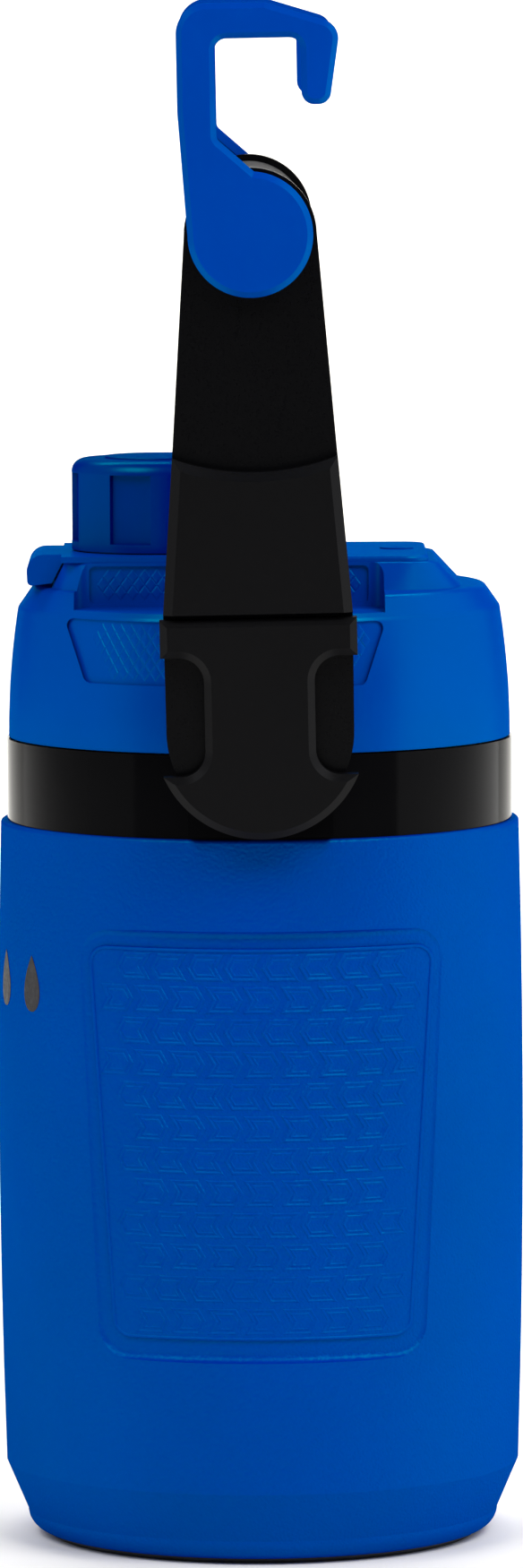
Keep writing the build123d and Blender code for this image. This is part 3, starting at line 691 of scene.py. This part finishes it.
class JugSizes(bpy.types.PropertyGroup):
    chevron_rows: IntProperty(name="Chevron rows", description="Rows on each side panel", default=12, min=2)
    chevron_columns: IntProperty(name="Chevron columns", description="Chevrons in a row", default=11, min=2)
    chevron_height: FloatProperty(
        name="Chevron height", description="How far a chevron's rim stands out", subtype="DISTANCE",
        unit="LENGTH", default=0.22 * MM)
    rim_height: FloatProperty(
        name="Rim height", description="How far the rim round a pad stands out", subtype="DISTANCE",
        unit="LENGTH", default=0.35 * MM)
    scale_width: FloatProperty(
        name="Scale width", description="Width of one scale of the lid's grips", subtype="DISTANCE",
        unit="LENGTH", default=3.1 * MM)
    droplet_height: FloatProperty(
        name="Droplet height", description="Height of a printed droplet", subtype="DISTANCE",
        unit="LENGTH", default=15 * MM)
    camera_distance: FloatProperty(
        name="Camera distance", description="Distance from the jug's axis", subtype="DISTANCE",
        unit="LENGTH", default=2.65)
    camera_elevation: FloatProperty(
        name="Camera elevation", description="Height of the view above the horizon", subtype="ANGLE",
        unit="ROTATION", default=math.radians(5.0))
    camera_roll: FloatProperty(
        name="Camera roll", description="Turn of the picture about the view", subtype="ANGLE",
        unit="ROTATION", default=math.radians(-0.26))
    camera_azimuth: FloatProperty(
        name="Camera azimuth", description="Turn of the view round the jug", subtype="ANGLE",
        unit="ROTATION", default=math.radians(-0.2))


# ---------------------------------------------------------------- operators
class JUG_OT_finishes(bpy.types.Operator):
    """Gives every CAD piece its finish"""
    bl_idname = "jug.finishes"
    bl_label = "Finishes"

    def execute(self, context):
        colours = context.scene.jug_colours
        pebbled_plastic("pebbled_blue", colours.body, pebble=1300.0, depth=0.2 * MM, roughness=0.44)
        smooth_plastic("lid_plastic", colours.lid, roughness=0.3, sheen=BLUE_SHEEN)
        smooth_plastic("cap_plastic", colours.cap, roughness=0.34, sheen=BLUE_SHEEN)
        smooth_plastic("hook_plastic", colours.lid, roughness=0.33, sheen=BLUE_SHEEN)
        band_plastic("band_polished", colours.black)
        grained_plastic("arm_satin", colours.black, roughness=0.3, depth=0.01 * MM)
        grained_plastic("cover_grained", colours.black, roughness=0.42, depth=0.035 * MM)
        rubber("foot_rubber_dry", FOOT_BLACK, roughness=0.6)
        rubber("grip_rubber_dry", GRIP_BLACK, roughness=0.55)
        smooth_plastic("liner_moulded", colours.pale, roughness=0.35, specular=0.5)
        silicone("silicone_cloudy", SILICONE)
        foam("foam_open", FOAM)
        brushed_steel("steel_brushed", STEEL)
        print_ink("mark_ink", colours.mark)
        paint("pebbled_blue", "outer_shell")
        paint("lid_plastic", "lid_shell", "rear_strap", "strap_rivet", "cap_flap")
        paint("cap_plastic", "cap_shell")
        paint("hook_plastic", "hook_left", "hook_right")
        paint("band_polished", "neck_collar")
        paint("arm_satin", "arm_left", "arm_right", "grip_core")
        paint("cover_grained", "arm_sleeve_left", "arm_sleeve_right",
              "pivot_cover_left", "pivot_cover_right")
        paint("foot_rubber_dry", "base_foot")
        paint("grip_rubber_dry", "grip_sleeve")
        paint("liner_moulded", "inner_liner", "lid_liner", "spout")
        paint("silicone_cloudy", "lid_gasket", "cap_seal")
        paint("foam_open", "foam_core", "lid_foam")
        paint("steel_brushed", "pivot_pin_left", "pivot_pin_right", "flap_hinge_pin",
              "handle_screws", "cover_screws", "hook_clip_left", "hook_clip_right")
        return {"FINISHED"}


class JUG_OT_chevrons(bpy.types.Operator):
    """Raises rows of nested chevrons on the pad of each side"""
    bl_idname = "jug.chevrons"
    bl_label = "Body chevrons"

    def execute(self, context):
        sizes = context.scene.jug_sizes
        left = -CHEVRON_LENGTH / 2 - CHEVRON_SLANT / 2
        right = left + CHEVRON_LENGTH
        outline = [
            (left, -CHEVRON_HALF), (right, -CHEVRON_HALF), (right + CHEVRON_SLANT, 0.0),
            (right, CHEVRON_HALF), (left, CHEVRON_HALF), (left + CHEVRON_SLANT, 0.0)]
        rim = sizes.chevron_height
        steps = [(0.0, -0.3 * MM), (0.1 * MM, 0.01 * MM), (0.4 * MM, rim), (0.7 * MM, rim),
                 (1.0 * MM, rim * 0.2), (1.3 * MM, rim * 0.2), (1.55 * MM, rim), (1.75 * MM, rim),
                 (2.0 * MM, rim * 0.5)]
        tree = barrel_tree()
        for name, side in (("left", 1.0), ("right", -1.0)):
            tile = stepped_tile("chevron", outline, steps)
            grown(tile, "chevrons_" + name, tree, {
                "Rows": sizes.chevron_rows, "Columns": sizes.chevron_columns,
                "Row pitch": CHEVRON_ROW_PITCH, "Column pitch": CHEVRON_PITCH,
                "Row shift": CHEVRON_PITCH / 2, "Turn odd rows": math.pi,
                "Middle height": (PAD_LOW + PAD_HIGH) / 2, "Side": side,
                "Half width low": PAD_HALF_LOW - CHEVRON_MARGIN,
                "Half width high": PAD_HALF_HIGH - CHEVRON_MARGIN,
                "Material": material("pebbled_blue"),
            }, "jug")
        return {"FINISHED"}


class JUG_OT_pad_rims(bpy.types.Operator):
    """Raises a thin rim round the pad of each side"""
    bl_idname = "jug.pad_rims"
    bl_label = "Pad rims"

    def execute(self, context):
        corners = [(-PAD_HALF_LOW, PAD_LOW), (PAD_HALF_LOW, PAD_LOW),
                   (PAD_HALF_HIGH, PAD_HIGH), (-PAD_HALF_HIGH, PAD_HIGH)]
        outline = rounded_outline(corners, PAD_CORNER, RIM_POINT_SPACING)
        for name, side in (("left", -1.0), ("right", 1.0)):
            made = pad_rim("pad_rim_" + name, outline, context.scene.jug_sizes.rim_height, side)
            made.data.materials.append(material("pebbled_blue"))
            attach(made, "jug")
        return {"FINISHED"}


def pad_rim(name, outline, rise, side):
    """A closed rim along an outline of the pad, with its foot sunk in the wall."""
    steps = [(0.0, -0.5 * MM), (0.1 * MM, 0.6 * rise), (0.4 * MM, rise), (0.8 * MM, 0.8 * rise),
             (RIM_WIDTH, -0.4 * MM)]

    def build(shape):
        rings = []
        for inset, height in steps:
            ring = [pad_point(x, z, height, side) for x, z in inset_outline(outline, inset)]
            rings.append([shape.verts.new(point) for point in ring])
        for index, lower in enumerate(rings):
            bridge(shape, lower, rings[(index + 1) % len(rings)])
    rim = mesh_of(name, build)
    smooth(rim)
    return rim


def rounded_outline(corners, radius, spacing):
    """A closed outline with round corners and points no further apart than the spacing."""
    points = []
    for index, place in enumerate(corners):
        corner = Vector(place)
        back = (Vector(corners[index - 1]) - corner).normalized()
        ahead = (Vector(corners[(index + 1) % len(corners)]) - corner).normalized()
        half = back.angle(ahead) / 2
        centre = corner + (back + ahead).normalized() * (radius / math.sin(half))
        start = corner + back * (radius / math.tan(half)) - centre
        end = corner + ahead * (radius / math.tan(half)) - centre
        first = math.atan2(start.y, start.x)
        turn = math.remainder(math.atan2(end.y, end.x) - first, 2 * math.pi)
        for step in range(CORNER_STEPS + 1):
            angle = first + turn * step / CORNER_STEPS
            points.append(centre + Vector((math.cos(angle), math.sin(angle))) * radius)
    outline = []
    for index, point in enumerate(points):
        after = points[(index + 1) % len(points)]
        pieces = max(1, round((after - point).length / spacing))
        outline += [tuple(point.lerp(after, piece / pieces)) for piece in range(pieces)]
    return outline


def pad_point(x, z, rise, side):
    """A point over the pad of one side, which ends on the barrel."""
    drop = (z - WIDEST_Z) ** 2 / (2 * BARREL_BEND)
    centre = PAD_CURVE + PAD_DEPTH - BODY_RADIUS
    pad_depth = math.sqrt((PAD_CURVE - drop) ** 2 - x * x) - centre
    body_depth = math.sqrt((BODY_RADIUS - drop) ** 2 - x * x)
    return x, side * (min(pad_depth, body_depth) + rise), z


class JUG_OT_lid_grips(bpy.types.Operator):
    """Covers the lid's grips with small pointed scales"""
    bl_idname = "jug.lid_grips"
    bl_label = "Lid grips"

    def execute(self, context):
        width = context.scene.jug_sizes.scale_width
        tall = width * SCALE_TALL
        outline = [(0.0, -tall / 2), (width / 2, 0.0), (0.0, tall / 2), (-width / 2, 0.0)]
        steps = [(0.0, -0.25 * MM), (0.03 * MM, 0.0), (0.3 * MM, 0.13 * MM), (0.75 * MM, 0.17 * MM)]
        row_pitch = tall / 2 + SCALE_ROW_GAP
        column_pitch = width + SCALE_COLUMN_GAP
        places = (
            ("skirt_scales", skirt_tree(), SKIRT_GRIP_LOW, SKIRT_GRIP_HIGH,
             SKIRT_HALF_LOW, SKIRT_HALF_HIGH, GRIP_SHIFT),
            ("strip_scales", wall_tree(), STRIP_LOW, STRIP_HIGH, STRIP_HALF, STRIP_HALF, STRIP_SHIFT),
        )
        for label, tree, low, high, half_low, half_high, shift in places:
            rows = int((high - low - tall) / row_pitch) + 1
            for name, side in (("left", 1.0), ("right", -1.0)):
                tile = stepped_tile("scale", outline, steps)
                grown(tile, label + "_" + name, tree, {
                    "Rows": rows, "Columns": 2 * int(half_high / column_pitch) + 3, "Row pitch": row_pitch,
                    "Column pitch": column_pitch, "Row shift": column_pitch / 2, "Turn odd rows": 0.0,
                    "Middle height": (low + high) / 2, "Half width low": half_low - width / 2,
                    "Half width high": half_high - width / 2, "Shift": shift, "Side": side,
                    "Material": material("lid_plastic"),
                }, "lid")
        return {"FINISHED"}


class JUG_OT_lip_bumper(bpy.types.Operator):
    """Sets a soft bumper on the deck's front, which the flap's lift lip rests on"""
    bl_idname = "jug.lip_bumper"
    bl_label = "Lip bumper"

    def execute(self, context):
        def build(shape):
            corners = [(DECK_FRONT + BUMPER_SINK, BUMPER_HIGH), (DECK_FRONT - BUMPER_STAND, BUMPER_HIGH)]
            forward = (BUMPER_HIGH - BUMPER_LOW) * DECK_SLOPE
            corners += [(x - forward, BUMPER_LOW) for x, z in reversed(corners)]
            rows = []
            for y in (-BUMPER_HALF, BUMPER_HALF):
                rows.append([shape.verts.new((x, y, z)) for x, z in corners])
            bridge(shape, *rows)
            shape.faces.new(rows[0])
            shape.faces.new(rows[1])
            bmesh.ops.bevel(shape, geom=list(shape.edges), offset=BUMPER_ROUND, segments=3,
                            affect="EDGES")
        made = mesh_of("lip_bumper", build)
        made.data.materials.append(material("lid_plastic"))
        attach(made, "lid")
        return {"FINISHED"}


class JUG_OT_marks(bpy.types.Operator):
    """Prints a row of plain droplets across the front"""
    bl_idname = "jug.marks"
    bl_label = "Front marks"

    def execute(self, context):
        height = context.scene.jug_sizes.droplet_height

        def build(shape):
            for number in range(DROPLETS):
                turn = (number - (DROPLETS - 1) / 2) * DROPLET_SPREAD
                add_droplet(shape, height, math.pi + turn)
        made = mesh_of("front_marks", build)
        made.data.materials.append(material("mark_ink"))
        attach(made, "jug")
        return {"FINISHED"}


def add_droplet(shape, height, angle):
    """A thin droplet on the barrel: a round bottom that narrows to a point above."""
    layers = []
    for stand in (-INK_SINK, INK_STAND):
        ring = []
        for step in range(DROPLET_POINTS):
            turn = 2 * math.pi * step / DROPLET_POINTS
            across = DROPLET_WIDTH * height * math.sin(turn) * math.sin(turn / 2)
            up = 0.5 * height * math.cos(turn)
            z = DROPLET_Z + up
            radius = BODY_RADIUS - (z - WIDEST_Z) ** 2 / (2 * BARREL_BEND) + stand
            around = angle + across / BODY_RADIUS
            ring.append(shape.verts.new((radius * math.cos(around), radius * math.sin(around), z)))
        layers.append(ring)
    bridge(shape, *layers)
    for ring in layers:
        shape.faces.new(ring)


class JUG_OT_stage(bpy.types.Operator):
    """Adds the camera, the seamless pale floor and the soft lights"""
    bl_idname = "jug.stage"
    bl_label = "Stage"

    def execute(self, context):
        add_camera(context.scene.jug_sizes)
        add_floor()
        add_lights()
        return {"FINISHED"}


def look_at(thing, place, target):
    thing.location = place
    thing.rotation_euler = (Vector(target) - Vector(place)).to_track_quat("-Z", "Y").to_euler()


def add_camera(sizes):
    data = bpy.data.cameras.new("camera")
    data.sensor_width = SENSOR_WIDTH
    data.lens = LENS
    data.clip_end = VIEW_END
    camera = bpy.data.objects.new("camera", data)
    bpy.context.scene.collection.objects.link(camera)
    turn = sizes.camera_azimuth
    lift = sizes.camera_elevation
    back = Vector((math.sin(turn) * math.cos(lift), -math.cos(turn) * math.cos(lift), math.sin(lift)))
    target = Vector(VIEW_CENTRE)
    look_at(camera, target + back * sizes.camera_distance, target)
    camera.rotation_euler.rotate_axis("Z", sizes.camera_roll)
    bpy.context.scene.camera = camera


def add_floor():
    """A floor that curves up into a wall behind the jug."""
    profile = [(FLOOR_FRONT, 0.0, FLOOR_HALF), (0.0, 0.0, FLOOR_HALF)]
    for step in range(WALL_STEPS + 1):
        turn = math.pi / 2 * step / WALL_STEPS
        y = WALL_Y - WALL_CURVE + WALL_CURVE * math.sin(turn)
        z = WALL_CURVE - WALL_CURVE * math.cos(turn)
        profile.append((y, z, FLOOR_HALF - (FLOOR_HALF - WALL_HALF) * step / WALL_STEPS))
    profile.append((WALL_Y, WALL_TOP, WALL_HALF))

    def build(shape):
        left = [shape.verts.new((-half, y, z)) for y, z, half in profile]
        right = [shape.verts.new((half, y, z)) for y, z, half in profile]
        for index in range(len(profile) - 1):
            shape.faces.new((left[index], right[index], right[index + 1], left[index + 1]))
    floor = mesh_of("studio_floor", build)
    if floor.data.polygons[0].normal.z < 0:
        floor.data.flip_normals()
    floor.data.materials.append(studio_paper("studio_paper", PAPER))
    smooth(floor)


def add_area(name, place, target, size, power):
    data = bpy.data.lights.new(name, "AREA")
    data.shape = "RECTANGLE"
    data.size, data.size_y = size
    data.energy = power
    light = bpy.data.objects.new(name, data)
    bpy.context.scene.collection.objects.link(light)
    look_at(light, place, target)


def add_lights():
    for name, place, target, size, power in LIGHTS:
        add_area(name, place, target, size, power)
    world = bpy.data.worlds.new("studio")
    world.use_nodes = True
    background = world.node_tree.nodes["Background"]
    background.inputs["Color"].default_value = SKY
    background.inputs["Strength"].default_value = SKY_STRENGTH
    bpy.context.scene.world = world
    bpy.context.scene.view_settings.view_transform = "Standard"


class JUG_PT_panel(bpy.types.Panel):
    """Lists the jug's steps in the sidebar"""
    bl_idname = "JUG_PT_panel"
    bl_label = "Water jug"
    bl_space_type = "VIEW_3D"
    bl_region_type = "UI"
    bl_category = "Jug"

    def draw(self, context):
        for group in (context.scene.jug_colours, context.scene.jug_sizes):
            for name in group.__annotations__:
                self.layout.prop(group, name)
        for operator in OPERATORS:
            self.layout.operator(operator.bl_idname)


OPERATORS = (
    JUG_OT_finishes, JUG_OT_chevrons, JUG_OT_pad_rims, JUG_OT_lid_grips, JUG_OT_lip_bumper,
    JUG_OT_marks, JUG_OT_stage)
CLASSES = (JugColours, JugSizes, *OPERATORS, JUG_PT_panel)


def register():
    for one in CLASSES:
        bpy.utils.register_class(one)
    bpy.types.Scene.jug_colours = PointerProperty(type=JugColours)
    bpy.types.Scene.jug_sizes = PointerProperty(type=JugSizes)


def unregister():
    del bpy.types.Scene.jug_sizes
    del bpy.types.Scene.jug_colours
    for one in reversed(CLASSES):
        bpy.utils.unregister_class(one)


def main():
    register()
    bpy.ops.jug.finishes()
    bpy.ops.jug.chevrons()
    bpy.ops.jug.pad_rims()
    bpy.ops.jug.lid_grips()
    bpy.ops.jug.lip_bumper()
    bpy.ops.jug.marks()
    bpy.ops.jug.stage()


if __name__ == "__main__":
    main()
